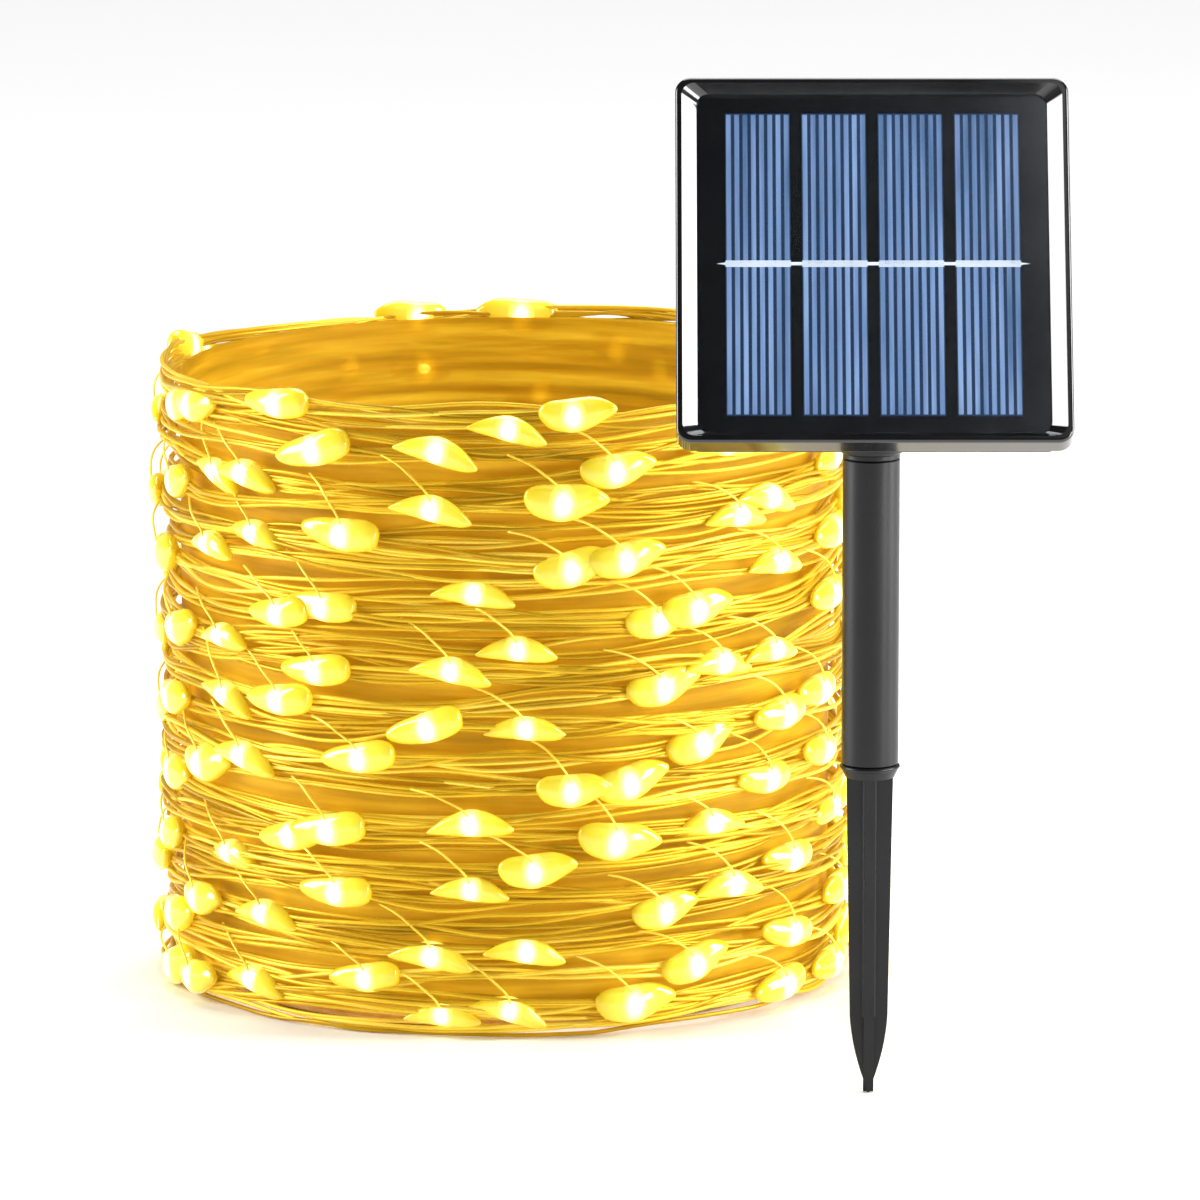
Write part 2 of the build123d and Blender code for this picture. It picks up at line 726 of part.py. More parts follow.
# ================================================================ the gland and the lead
gland_tip = housing_back + gland_length
with BuildPart() as cable_gland:
    with BuildSketch(profile_plane(0, gland_y)):
        with BuildLine():
            Polyline(
                (0, -floor_level + gland_flange),
                (gland_flange_radius, -floor_level + gland_flange),
                (gland_flange_radius, -floor_level),
                (gland_neck_radius, -floor_level),
                (gland_neck_radius, -housing_back),
                (gland_flange_radius, -housing_back),
                (gland_flange_radius, -housing_back - gland_flange),
                (3.2, -housing_back - 1.8),
                (2.1, -gland_tip),
                (lead_diameter / 2, -gland_tip),
                (lead_diameter / 2, -gland_tip + gland_socket),
                (0, -gland_tip + gland_socket),
                close=True,
            )
        make_face()
    revolve(axis=turning_axis(0, gland_y))
cable_gland.part.label = "cable_gland"
export_step(cable_gland.part, "parts/cable_gland.step")


def corner_radii(points):
    """Each arc as large as its two runs allow: 0.45 of the shorter run over the tangent of half the turn."""
    radii = []
    for before, corner, after in zip(points, points[1:], points[2:]):
        run_in = Vector(corner) - Vector(before)
        run_out = Vector(after) - Vector(corner)
        half_turn = math.radians(run_in.get_angle(run_out)) / 2
        radii.append(0.45 * min(run_in.length, run_out.length) / math.tan(half_turn))
    return radii


def cord(name, points, diameter):
    """A round cord along straight runs joined by tangent arcs."""
    radii = corner_radii(points)
    print(name, "radii", [round(radius, 1) for radius in radii])
    with BuildPart() as tube:
        with BuildLine():
            centre_line = FilletPolyline(*points, radius=radii)
        with BuildSketch(Plane(origin=centre_line @ 0, z_dir=centre_line % 0)):
            Circle(diameter / 2)
        sweep(path=centre_line)
    expected = centre_line.length * math.pi * diameter ** 2 / 4
    print(name, "length", round(centre_line.length, 1), "volume ratio", round(tube.part.volume / expected, 4))
    return tube


# out of the gland, over the knuckle and down into the clip on the bracket
lead_upper_route = [
    (0, 5.855, 203.790),
    (0, 12.619, 199.612),
    (0, 17.8, 192.6),
    (0, 18.0, 184.8),
    (0, 15.35, 178.5),
    (0, 15.0, 173.5),
]
lead_upper = cord("lead_upper", lead_upper_route, lead_diameter)
lead_upper.part.label = "lead_upper"
export_step(lead_upper.part, "parts/lead_upper.step")

# down behind the tube, back along the ground, and round behind the coil to its inner turns
lead_lower_route = [
    (0, 15.0, 173.5),
    (0, 14.65, 168.5),
    (0.3, 12.9, 157.0),
    (-0.3, 13.4, 126.0),
    (0.5, 12.6, 92.0),
    (0.1, 13.4, 58.0),
    (0.5, 16.0, 30.0),
    (0.9, 22.5, 11.0),
    (1.4, 36.0, 2.2),
    (2.4, 54.0, 1.3),
    (3.9, 84.0, 1.3),
    (3.3, 116.0, 1.3),
    (5.6, 146.0, 1.3),
    (2.2, 171.0, 1.3),
    (-9.0, 192.3, 1.3),
    (-27.2, 211.3, 1.3),
    (-49.0, 223.8, 1.3),
    (-72.2, 229.2, 1.3),
]
lead_lower = cord("lead_lower", lead_lower_route, lead_diameter)
lead_lower.part.label = "lead_lower"
export_step(lead_lower.part, "parts/lead_lower.step")

coil_plane = Plane(origin=(*coil_centre, 0))
with BuildPart() as lead_turns:
    with BuildSketch(coil_plane):
        Circle(lead_turns_outer)
        Circle(lead_turns_inner, mode=Mode.SUBTRACT)
    extrude(amount=lead_diameter)
lead_turns.part.label = "lead_turns"
export_step(lead_turns.part, "parts/lead_turns.step")

splice_turn = math.radians(splice_angle)
splice_centre = Vector(coil_centre[0] + splice_ring_radius * math.cos(splice_turn),
                       coil_centre[1] + splice_ring_radius * math.sin(splice_turn), splice_radius)
splice_heading = Vector(-math.sin(splice_turn), math.cos(splice_turn), 0)
with BuildPart() as lead_splice:
    splice_start = splice_centre - splice_heading * (splice_length / 2)
    with BuildSketch(Plane(origin=splice_start, z_dir=splice_heading)):
        Circle(splice_radius)
    extrude(amount=splice_length)
    chamfer(lead_splice.edges(), length=0.5)
lead_splice.part.label = "lead_splice"
export_step(lead_splice.part, "parts/lead_splice.step")

# ================================================================ the coiled string
with BuildPart() as light_coil:
    with BuildSketch(coil_plane):
        Circle(wire_outer_radius)
        Circle(wire_inner_radius, mode=Mode.SUBTRACT)
    extrude(amount=coil_height)
light_coil.part.label = "light_coil"
export_step(light_coil.part, "parts/light_coil.step")

# the film sleeve that the string is wound round; it stands clear of the lead below it
with BuildPart() as coil_sleeve:
    with BuildSketch(coil_plane.offset(sleeve_bottom)):
        Circle(sleeve_outer_radius)
        Circle(sleeve_outer_radius - sleeve_wall, mode=Mode.SUBTRACT)
    extrude(amount=sleeve_top - sleeve_bottom)
coil_sleeve.part.label = "coil_sleeve"
export_step(coil_sleeve.part, "parts/coil_sleeve.step")

# one drop: a spindle, pointed where the wires go in and blunt where they come out
with BuildPart(mode=Mode.PRIVATE) as drop:
    with BuildSketch(Plane.XY):
        with BuildLine():
            Polyline((-drop_length / 2, 0), (-drop_length / 4, 0.7 * drop_radius), (0, drop_radius),
                     (drop_length / 3, 0.75 * drop_radius), (drop_length / 2, 0.4 * drop_radius),
                     (drop_length / 2, 0), close=True)
        make_face()
    revolve(axis=Axis.X)

drop_places = []
for number in range(drop_count):
    turn = 360 * number / drops_per_turn
    rise = (last_drop_height - first_drop_height) * number / (drop_count - 1)
    drop_places.append(Location(
        (coil_centre[0] + drop_ring_radius * math.cos(math.radians(turn)),
         coil_centre[1] + drop_ring_radius * math.sin(math.radians(turn)),
         first_drop_height + rise),
        (0, 0, turn + 90)))
with BuildPart() as led_drops:
    with Locations(*drop_places):
        add(drop.part)
led_drops.part.label = "led_drops"
export_step(led_drops.part, "parts/led_drops.step")
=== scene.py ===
"""Looks of the solar string lights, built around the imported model. Metres, +Z up, the panel faces -Y."""

import json
import math
import random

import bpy
import numpy as np
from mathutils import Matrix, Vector


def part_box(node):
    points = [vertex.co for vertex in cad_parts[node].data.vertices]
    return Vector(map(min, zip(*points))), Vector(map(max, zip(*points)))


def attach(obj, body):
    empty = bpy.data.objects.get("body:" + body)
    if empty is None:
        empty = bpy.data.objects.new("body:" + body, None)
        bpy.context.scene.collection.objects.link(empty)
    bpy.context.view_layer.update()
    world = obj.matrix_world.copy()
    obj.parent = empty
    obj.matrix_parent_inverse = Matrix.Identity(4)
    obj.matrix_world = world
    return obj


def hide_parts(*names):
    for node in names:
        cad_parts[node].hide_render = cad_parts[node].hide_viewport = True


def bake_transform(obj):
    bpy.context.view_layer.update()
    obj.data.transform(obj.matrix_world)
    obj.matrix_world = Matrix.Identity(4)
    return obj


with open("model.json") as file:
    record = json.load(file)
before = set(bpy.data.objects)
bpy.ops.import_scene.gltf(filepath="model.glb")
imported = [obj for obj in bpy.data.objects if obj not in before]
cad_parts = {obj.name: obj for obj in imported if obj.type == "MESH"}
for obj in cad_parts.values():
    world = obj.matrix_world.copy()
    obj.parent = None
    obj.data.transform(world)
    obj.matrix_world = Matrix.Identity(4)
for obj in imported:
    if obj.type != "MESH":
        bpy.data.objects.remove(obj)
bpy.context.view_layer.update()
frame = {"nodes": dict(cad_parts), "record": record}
scene = bpy.context.scene
nodes = frame["nodes"]
MM = 0.001

# ================================================================ camera
VIEW_ELEVATION = math.radians(10.7)
VIEW_DISTANCE = 2.5
PICTURE_WIDTH = 0.3064
SENSOR_WIDTH = 36.0
VIEW_TARGET = Vector((-0.0691, 0.0, 0.1288))

camera_data = bpy.data.cameras.new("camera")
camera = bpy.data.objects.new("camera", camera_data)
scene.collection.objects.link(camera)
view_out = Vector((0, -math.cos(VIEW_ELEVATION), math.sin(VIEW_ELEVATION)))
camera.location = VIEW_TARGET + view_out * VIEW_DISTANCE
camera.rotation_euler = view_out.to_track_quat("Z", "Y").to_euler()
camera_data.sensor_width = SENSOR_WIDTH
camera_data.lens = SENSOR_WIDTH * VIEW_DISTANCE / PICTURE_WIDTH
camera_data.clip_end = 20
scene.camera = camera


# ================================================================ helpers
def add_object(name, data):
    made = bpy.data.objects.new(name, data)
    scene.collection.objects.link(made)
    return made


def mesh_object(name, points, faces, material, smooth=True):
    mesh = bpy.data.meshes.new(name)
    mesh.from_pydata([tuple(point) for point in points], [], faces)
    mesh.materials.append(material)
    if smooth:
        mesh.shade_smooth()
    mesh.update()
    return add_object(name, mesh)


def spline_points(points):
    """Points along the open NURBS spline with these control points, as Blender gives them."""
    curve = bpy.data.curves.new("route_line", "CURVE")
    curve.dimensions = "3D"
    curve.resolution_u = 8
    spline = curve.splines.new("NURBS")
    spline.points.add(len(points) - 1)
    for control, point in zip(spline.points, points):
        control.co = (*point, 1)
    spline.order_u = 3
    spline.use_endpoint_u = True
    made = add_object("route_line", curve)
    mesh = bpy.data.meshes.new_from_object(made)
    line = np.array([vertex.co[:] for vertex in mesh.vertices])
    bpy.data.objects.remove(made)
    bpy.data.meshes.remove(mesh)
    return line


def spaced(line, step):
    """The line's points put evenly, about step apart, and the distance along it of each."""
    runs = np.linalg.norm(np.diff(line, axis=0), axis=1)
    along = np.concatenate([[0], np.cumsum(runs)])
    wanted = np.linspace(0, along[-1], int(along[-1] / step) + 1)
    even = np.stack([np.interp(wanted, along, line[:, axis]) for axis in range(3)], axis=1)
    return even, wanted


def frames_along(line, centre):
    """Tangent, outward and upward unit vectors at each point of a line that winds round a centre."""
    tangent = np.gradient(line, axis=0)
    tangent /= np.linalg.norm(tangent, axis=1)[:, None]
    outward = line - centre
    outward[:, 2] = 0
    outward -= (outward * tangent).sum(1)[:, None] * tangent
    outward /= np.linalg.norm(outward, axis=1)[:, None]
    upward = np.cross(outward, tangent)
    upward *= np.where(upward[:, 2] < 0, -1, 1)[:, None]
    return tangent, outward, upward


def tube_mesh(line, radius, sides):
    """Points and faces of a closed tube round a line, with its rings carried along without twist."""
    tangent = np.gradient(line, axis=0)
    tangent /= np.linalg.norm(tangent, axis=1)[:, None]
    across = np.empty_like(tangent)
    carried = np.cross(tangent[0], (0.3, 0.2, 0.9))
    for index, direction in enumerate(tangent):
        carried = carried - (carried @ direction) * direction
        carried = carried / math.sqrt(carried @ carried)
        across[index] = carried
    over = np.cross(tangent, across)
    turns = np.arange(sides) / sides * 2 * math.pi
    ring = np.cos(turns)[:, None, None] * across + np.sin(turns)[:, None, None] * over
    points = (line + radius * ring).transpose(1, 0, 2).reshape(-1, 3)
    faces = []
    for step in range(len(line) - 1):
        for side in range(sides):
            other = (side + 1) % sides
            low, high = step * sides, (step + 1) * sides
            faces.append((low + side, low + other, high + other, high + side))
    faces.append(tuple(range(sides))[::-1])
    faces.append(tuple((len(line) - 1) * sides + side for side in range(sides)))
    return points, faces


def joined(parts):
    """Several (points, faces) as one."""
    points, faces, start = [], [], 0
    for part_points, part_faces in parts:
        points.append(np.asarray(part_points))
        faces += [tuple(start + index for index in face) for face in part_faces]
        start += len(part_points)
    return np.concatenate(points), faces


def wander(length, count, spacing, amount, seed):
    """Smooth random offsets along a line: values every spacing metres, joined by cosine steps."""
    draw = np.random.default_rng(seed)
    knots = draw.uniform(-amount, amount, int(length / spacing) + 3)
    place = np.linspace(0, length / spacing, count)
    before = place.astype(int)
    part = (1 - np.cos((place - before) * math.pi)) / 2
    return knots[before] * (1 - part) + knots[before + 1] * part


# ================================================================ materials
def new_material(name):
    """A material with its principled shader, and a function that adds and joins nodes."""
    material = bpy.data.materials.new(name)
    material.use_nodes = True
    tree = material.node_tree
    shader = tree.nodes["Principled BSDF"]

    def node(kind, inputs=None, **settings):
        made = tree.nodes.new(kind)
        for key, value in settings.items():
            setattr(made, key, value)
        for key, value in (inputs or {}).items():
            if isinstance(value, bpy.types.NodeSocket):
                tree.links.new(value, made.inputs[key])
            else:
                made.inputs[key].default_value = value
        return made

    return material, shader, tree, node


def ramp(node, factor, stops):
    made = node("ShaderNodeValToRGB", {"Fac": factor})
    elements = made.color_ramp.elements
    while len(elements) < len(stops):
        elements.new(0.5)
    for element, (place, colour) in zip(elements, stops):
        element.position = place
        element.color = (*colour, 1)
    return made.outputs["Color"]


GRAIN_SCALE = 900.0
GRAIN_DEPTH = 0.0004


def plastic(name, dark, light, roughness, grain=0.0, coat=0.0, mottle=60.0, shine=0.5):
    """Moulded plastic: a slightly uneven tone, uneven gloss and, where it is textured, a fine grain."""
    material, shader, tree, node = new_material(name)
    place = node("ShaderNodeTexCoord").outputs["Object"]
    patches = node("ShaderNodeTexNoise", {"Vector": place, "Scale": mottle, "Detail": 5.0})
    tone = ramp(node, patches.outputs["Fac"], [(0.3, dark), (0.75, light)])
    tree.links.new(tone, shader.inputs["Base Color"])
    smudge = node("ShaderNodeTexNoise", {"Vector": place, "Scale": mottle * 0.4, "Detail": 3.0})
    gloss = node("ShaderNodeMapRange", {"Value": smudge.outputs["Fac"], "From Min": 0.3, "From Max": 0.7,
                                        "To Min": roughness * 0.8, "To Max": roughness * 1.25})
    tree.links.new(gloss.outputs["Result"], shader.inputs["Roughness"])
    shader.inputs["Specular IOR Level"].default_value = shine
    shader.inputs["Coat Weight"].default_value = coat
    shader.inputs["Coat Roughness"].default_value = 0.06
    if grain:
        speckle = node("ShaderNodeTexNoise", {"Vector": place, "Scale": GRAIN_SCALE, "Detail": 2.0})
        bump = node("ShaderNodeBump", {"Height": speckle.outputs["Fac"], "Strength": grain,
                                       "Distance": GRAIN_DEPTH})
        tree.links.new(bump.outputs["Normal"], shader.inputs["Normal"])
    return material


def metal(name, dark, light, roughness, streak=(40.0, 40.0, 400.0)):
    """Bare metal with fine drawn streaks."""
    material, shader, tree, node = new_material(name)
    place = node("ShaderNodeTexCoord").outputs["Object"]
    stretched = node("ShaderNodeMapping", {"Vector": place, "Scale": streak})
    streaks = node("ShaderNodeTexNoise", {"Vector": stretched.outputs["Vector"], "Scale": 8.0, "Detail": 4.0})
    tone = ramp(node, streaks.outputs["Fac"], [(0.3, dark), (0.7, light)])
    tree.links.new(tone, shader.inputs["Base Color"])
    gloss = node("ShaderNodeMapRange", {"Value": streaks.outputs["Fac"],
                                        "To Min": roughness * 0.7, "To Max": roughness * 1.3})
    tree.links.new(gloss.outputs["Result"], shader.inputs["Roughness"])
    shader.inputs["Metallic"].default_value = 1.0
    return material


def copper_wire_painted_light():
    """Enamelled copper, golden, with browner and paler strands and streaks: partly random tone, partly painted
    shade and highlight, and a painted glow in place of the light of the drops beside it.
    """
    material, shader, tree, node = new_material("copper_wire_painted_light")
    strand = node("ShaderNodeAttribute", attribute_name="strand")
    place = node("ShaderNodeTexCoord").outputs["Object"]
    stretched = node("ShaderNodeMapping", {"Vector": place, "Scale": (30.0, 30.0, 130.0)})
    patches = node("ShaderNodeTexNoise", {"Vector": stretched.outputs["Vector"], "Scale": 1.0, "Detail": 4.0})
    # strand tone and streaks pick colours from painted shade (brown) to painted highlight (pale yellow)
    mixed = node("ShaderNodeMath", {0: patches.outputs["Fac"], 1: strand.outputs["Fac"]}, operation="ADD")
    halved = node("ShaderNodeMath", {0: mixed.outputs["Value"], 1: 0.5}, operation="MULTIPLY")
    colour = ramp(node, halved.outputs["Value"],
                  [(0.2, (0.34, 0.19, 0.004)), (0.42, (0.56, 0.33, 0.010)), (0.6, (0.76, 0.50, 0.026)),
                   (0.8, (0.95, 0.76, 0.11))])
    tree.links.new(colour, shader.inputs["Base Color"])
    shader.inputs["Metallic"].default_value = 0.4
    shader.inputs["Roughness"].default_value = 0.36
    shader.inputs["Specular IOR Level"].default_value = 0.25
    # painted glow: the wire shines in its own colour, standing in for the drops' light falling on it
    tree.links.new(colour, shader.inputs["Emission Color"])
    shader.inputs["Emission Strength"].default_value = 0.20
    return material


def sleeve_film_painted_glow():
    """Frosted amber film with a painted glow, emission in place of the light of the drops round it, which show
    through it as blurs.
    """
    material, shader, tree, node = new_material("sleeve_film_painted_glow")
    place = node("ShaderNodeTexCoord").outputs["Object"]
    stretched = node("ShaderNodeMapping", {"Vector": place, "Scale": (16.0, 16.0, 260.0)})
    patches = node("ShaderNodeTexNoise", {"Vector": stretched.outputs["Vector"], "Scale": 1.0, "Detail": 5.0})
    colour = ramp(node, patches.outputs["Fac"],
                  [(0.3, (0.44, 0.25, 0.008)), (0.5, (0.64, 0.38, 0.014)), (0.7, (0.84, 0.58, 0.035))])
    tree.links.new(colour, shader.inputs["Base Color"])
    # painted glow: the film shines in its own colour, standing in for the drops' light on it
    tree.links.new(colour, shader.inputs["Emission Color"])
    shader.inputs["Emission Strength"].default_value = 0.19
    shader.inputs["Transmission Weight"].default_value = 0.45
    shader.inputs["IOR"].default_value = 1.2
    shader.inputs["Roughness"].default_value = 0.45
    shader.inputs["Specular IOR Level"].default_value = 0.2
    return material


def drop_resin():
    """Clear resin round a lit chip: white-hot in the middle, lemon yellow towards the ends."""
    material, shader, tree, node = new_material("drop_resin")
    local = node("ShaderNodeAttribute", attribute_name="from_chip")
    reach = node("ShaderNodeVectorMath", {0: local.outputs["Vector"]}, operation="LENGTH")
    shade = node("ShaderNodeAttribute", attribute_name="tone")
    place = node("ShaderNodeTexCoord").outputs["Object"]
    flow = node("ShaderNodeTexNoise", {"Vector": place, "Scale": 260.0, "Detail": 3.0})
    flowed = node("ShaderNodeMapRange", {"Value": flow.outputs["Fac"], "From Min": 0.3, "From Max": 0.7,
                                         "To Min": -0.05, "To Max": 0.05})
    distance = node("ShaderNodeMath", {0: reach.outputs["Value"], 1: flowed.outputs["Result"]}, operation="ADD")
    scaled = node("ShaderNodeMath", {0: distance.outputs["Value"], 1: 0.25}, operation="MULTIPLY")
    colour = ramp(node, scaled.outputs["Value"],
                  [(0.0, (1.0, 1.0, 0.80)), (0.12, (1.0, 0.98, 0.55)), (0.24, (0.98, 0.88, 0.20)),
                   (0.36, (0.94, 0.78, 0.07)), (0.65, (0.9, 0.72, 0.04)), (1.0, (0.82, 0.58, 0.015))])
    tree.links.new(colour, shader.inputs["Base Color"])
    tree.links.new(colour, shader.inputs["Emission Color"])
    strength = node("ShaderNodeMapRange", {"Value": scaled.outputs["Value"],
                                           "From Min": 0.08, "From Max": 0.36,
                                           "To Min": 2.0, "To Max": 0.17})
    toned = node("ShaderNodeMath", {0: strength.outputs["Result"], 1: shade.outputs["Fac"]},
                 operation="MULTIPLY")
    tree.links.new(toned.outputs["Value"], shader.inputs["Emission Strength"])
    shader.inputs["Roughness"].default_value = 0.16
    shader.inputs["Coat Weight"].default_value = 0.5
    return material


def solar_glass():
    """Clear cover sheet with a faint dusty unevenness in its gloss."""
    material, shader, tree, node = new_material("solar_glass")
    place = node("ShaderNodeTexCoord").outputs["Object"]
    dust = node("ShaderNodeTexNoise", {"Vector": place, "Scale": 45.0, "Detail": 6.0})
    gloss = node("ShaderNodeMapRange", {"Value": dust.outputs["Fac"], "To Min": 0.03, "To Max": 0.12})
    tree.links.new(gloss.outputs["Result"], shader.inputs["Roughness"])
    shader.inputs["Base Color"].default_value = (0.9, 0.95, 1.0, 1)
    shader.inputs["Transmission Weight"].default_value = 1.0
    shader.inputs["IOR"].default_value = 1.45
    return material


def silicon_painted_glow():
    """Dark blue cell with a slight drift of tone from corner to corner, and a faint painted glow in place of
    the light that reaches it through the cover.
    """
    material, shader, tree, node = new_material("silicon_painted_glow")
    place = node("ShaderNodeTexCoord").outputs["Object"]
    drift = node("ShaderNodeTexNoise", {"Vector": place, "Scale": 14.0, "Detail": 3.0})
    colour = ramp(node, drift.outputs["Fac"], [(0.3, (0.008, 0.028, 0.085)), (0.7, (0.018, 0.06, 0.16))])
    tree.links.new(colour, shader.inputs["Base Color"])
    # painted light: the cell glows faintly, standing in for light coming through the cover
    tree.links.new(colour, shader.inputs["Emission Color"])
    shader.inputs["Emission Strength"].default_value = 0.25
    shader.inputs["Roughness"].default_value = 0.35
    return material


def tinned_ribbon_painted_highlight():
    """Tinned copper ribbon: matt, with a soft ripple from the soldering, and bright from a painted glow that
    stands in for the light it mirrors.
    """
    material, shader, tree, node = new_material("tinned_ribbon_painted_highlight")
    place = node("ShaderNodeTexCoord").outputs["Object"]
    ripple = node("ShaderNodeTexNoise", {"Vector": place, "Scale": 320.0, "Detail": 3.0})
    colour = ramp(node, ripple.outputs["Fac"], [(0.3, (0.72, 0.76, 0.80)), (0.7, (0.95, 0.97, 1.0))])
    tree.links.new(colour, shader.inputs["Base Color"])
    # painted highlight: the ribbon glows in its own colour in place of its bright reflection
    tree.links.new(colour, shader.inputs["Emission Color"])
    shader.inputs["Emission Strength"].default_value = 0.6
    shader.inputs["Metallic"].default_value = 0.3
    shader.inputs["Roughness"].default_value = 0.55
    return material


def printed_silver_painted_glow():
    """Silver paste printed on the cells, bluish through the cover, its tone drifting along each line, and a
    painted glow that brightens it under the cover.
    """
    material, shader, tree, node = new_material("printed_silver_painted_glow")
    place = node("ShaderNodeTexCoord").outputs["Object"]
    stretched = node("ShaderNodeMapping", {"Vector": place, "Scale": (260.0, 18.0, 18.0)})
    drift = node("ShaderNodeTexNoise", {"Vector": stretched.outputs["Vector"], "Scale": 1.0, "Detail": 3.0})
    colour = ramp(node, drift.outputs["Fac"], [(0.3, (0.10, 0.19, 0.34)), (0.5, (0.22, 0.33, 0.55)),
                                               (0.7, (0.36, 0.50, 0.74))])
    tree.links.new(colour, shader.inputs["Base Color"])
    # painted light: the fingers glow in their own colour, standing in for light under the cover
    tree.links.new(colour, shader.inputs["Emission Color"])
    shader.inputs["Emission Strength"].default_value = 0.45
    shader.inputs["Roughness"].default_value = 0.5
    return material


frame_gloss = plastic("frame_gloss", (0.003, 0.003, 0.0035), (0.008, 0.008, 0.009), 0.12, coat=0.6)
housing_plastic = plastic("housing_plastic", (0.012, 0.012, 0.013), (0.026, 0.026, 0.028), 0.42, grain=0.25)
stake_plastic = plastic("stake_plastic", (0.003, 0.003, 0.004), (0.007, 0.007, 0.008), 0.31,
                        grain=0.08, shine=0.34)
board_black = plastic("board_black", (0.002, 0.002, 0.003), (0.005, 0.006, 0.008), 0.2)
board_green = plastic("board_green", (0.01, 0.09, 0.03), (0.02, 0.16, 0.06), 0.3)
component_black = plastic("component_black", (0.015, 0.015, 0.015), (0.035, 0.035, 0.035), 0.5, grain=0.1)
seal_rubber = plastic("seal_rubber", (0.01, 0.01, 0.01), (0.022, 0.022, 0.022), 0.7, grain=0.3)
button_rubber = plastic("button_rubber", (0.03, 0.03, 0.032), (0.055, 0.055, 0.058), 0.6, grain=0.3)
cell_wrap = plastic("cell_wrap", (0.02, 0.2, 0.07), (0.04, 0.32, 0.12), 0.25)
wire_red = plastic("wire_red", (0.35, 0.01, 0.01), (0.5, 0.03, 0.02), 0.35)
lead_clear = plastic("lead_clear", (0.55, 0.3, 0.05), (0.75, 0.48, 0.12), 0.18, coat=0.8, mottle=220.0)
screw_steel = metal("screw_steel", (0.4, 0.4, 0.41), (0.62, 0.62, 0.63), 0.3)
contact_nickel = metal("contact_nickel", (0.5, 0.48, 0.44), (0.7, 0.68, 0.63), 0.3)
ribbon_silver = tinned_ribbon_painted_highlight()
wire_gold = copper_wire_painted_light()
resin = drop_resin()
film = sleeve_film_painted_glow()
glass = solar_glass()
finger_silver = printed_silver_painted_glow()
cell_blue = silicon_painted_glow()
FINISHES = {
    "frame_gloss": frame_gloss, "housing_plastic": housing_plastic, "stake_plastic": stake_plastic,
    "cover_clear": glass, "cell_blue": cell_blue, "ribbon_silver": ribbon_silver,
    "board_black": board_black, "board_green": board_green, "component_black": component_black,
    "seal_rubber": seal_rubber, "button_rubber": button_rubber, "screw_steel": screw_steel,
    "cell_wrap": cell_wrap, "contact_nickel": contact_nickel, "lead_clear": lead_clear,
    "wire_red": wire_red, "wire_copper": wire_gold, "drop_resin": resin, "sleeve_amber": film,
}
for part in frame["record"]["subparts"]:
    materials = nodes[part["node"]].data.materials
    materials.clear()
    materials.append(FINISHES[part["material_slot"]])

# ================================================================ the lead
LEAD_THICKNESS = 0.0026
LEAD_RADIUS = LEAD_THICKNESS / 2
coil_low, coil_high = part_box("light_coil")
coil_centre = (coil_low + coil_high) / 2
coil_centre.z = 0


def on_coil(turn, radius, height):
    """The point at this turn about the coil's axis."""
    return (coil_centre.x + radius * math.cos(turn), coil_centre.y + radius * math.sin(turn), height)


# the slack loop across the hinge, from the head's gland to the bracket's clip
LEAD_UPPER_ROUTE = [
    (0, 0.005855, 0.203790), (0, 0.012619, 0.199612), (0, 0.0178, 0.1926), (0, 0.0180, 0.1848),
    (0, 0.01535, 0.1785), (0, 0.0150, 0.1735),
]
# from the clip down behind the stake, along the ground and under the edge of the coil
LEAD_LOWER_ROUTE = [
    (0, 0.0150, 0.1735), (0, 0.01465, 0.1685), (0.0003, 0.0129, 0.1570), (-0.0003, 0.0134, 0.1260),
    (0.0005, 0.0126, 0.0920), (0.0001, 0.0134, 0.0580), (0.0005, 0.0160, 0.0300),
    (0.0009, 0.0225, 0.0110), (0.0014, 0.0360, 0.0022), (0.0024, 0.0540, 0.0013),
    (0.0039, 0.0840, 0.0013), (0.0033, 0.1160, 0.0013), (0.0056, 0.1460, 0.0013),
    (0.0022, 0.1710, 0.0013), (-0.0090, 0.1923, 0.0013), (-0.0272, 0.2113, 0.0013),
    (-0.0490, 0.2238, 0.0013), (-0.0722, 0.2292, 0.0013),
]
splice_low, splice_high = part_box("lead_splice")
splice_centre = (splice_low + splice_high) / 2
splice_arm = splice_centre - coil_centre
splice_radius = math.hypot(splice_arm.x, splice_arm.y)
splice_turn = math.atan2(splice_arm.y, splice_arm.x)

# the put-away turns lie on the ground inside the coil and close in on the splice
SPLICE_HALF = 0.011
PUT_AWAY_TURNS = 3
POINTS_PER_TURN = 16
BESIDE_SPLICE = 0.0004
TURNS_RISE = 0.0003
last = Vector(LEAD_LOWER_ROUTE[-1]) - coil_centre
first_turn = math.atan2(last.y, last.x)
first_radius = math.hypot(last.x, last.y)
last_turn = splice_turn - SPLICE_HALF / splice_radius + PUT_AWAY_TURNS * 2 * math.pi
inner_radius = splice_radius + BESIDE_SPLICE
steps = int((last_turn - first_turn) / (2 * math.pi) * POINTS_PER_TURN)
lead_route = list(LEAD_LOWER_ROUTE)
for step in range(1, steps + 1):
    part = step / steps
    turn = first_turn + (last_turn - first_turn) * part
    radius = first_radius + (inner_radius - first_radius) * part
    lead_route.append(on_coil(turn, radius, LEAD_RADIUS + TURNS_RISE * part))

LEAD_STEP = 0.0015
LEAD_SIDES = 20
upper_line, _ = spaced(spline_points(LEAD_UPPER_ROUTE), LEAD_STEP)
lower_line, lower_along = spaced(spline_points(lead_route), LEAD_STEP)
lead_upper = mesh_object("lead_to_bracket", *tube_mesh(upper_line, LEAD_RADIUS, LEAD_SIDES), lead_clear)
lead_lower = mesh_object("lead_to_string", *tube_mesh(lower_line, LEAD_RADIUS, LEAD_SIDES), lead_clear)

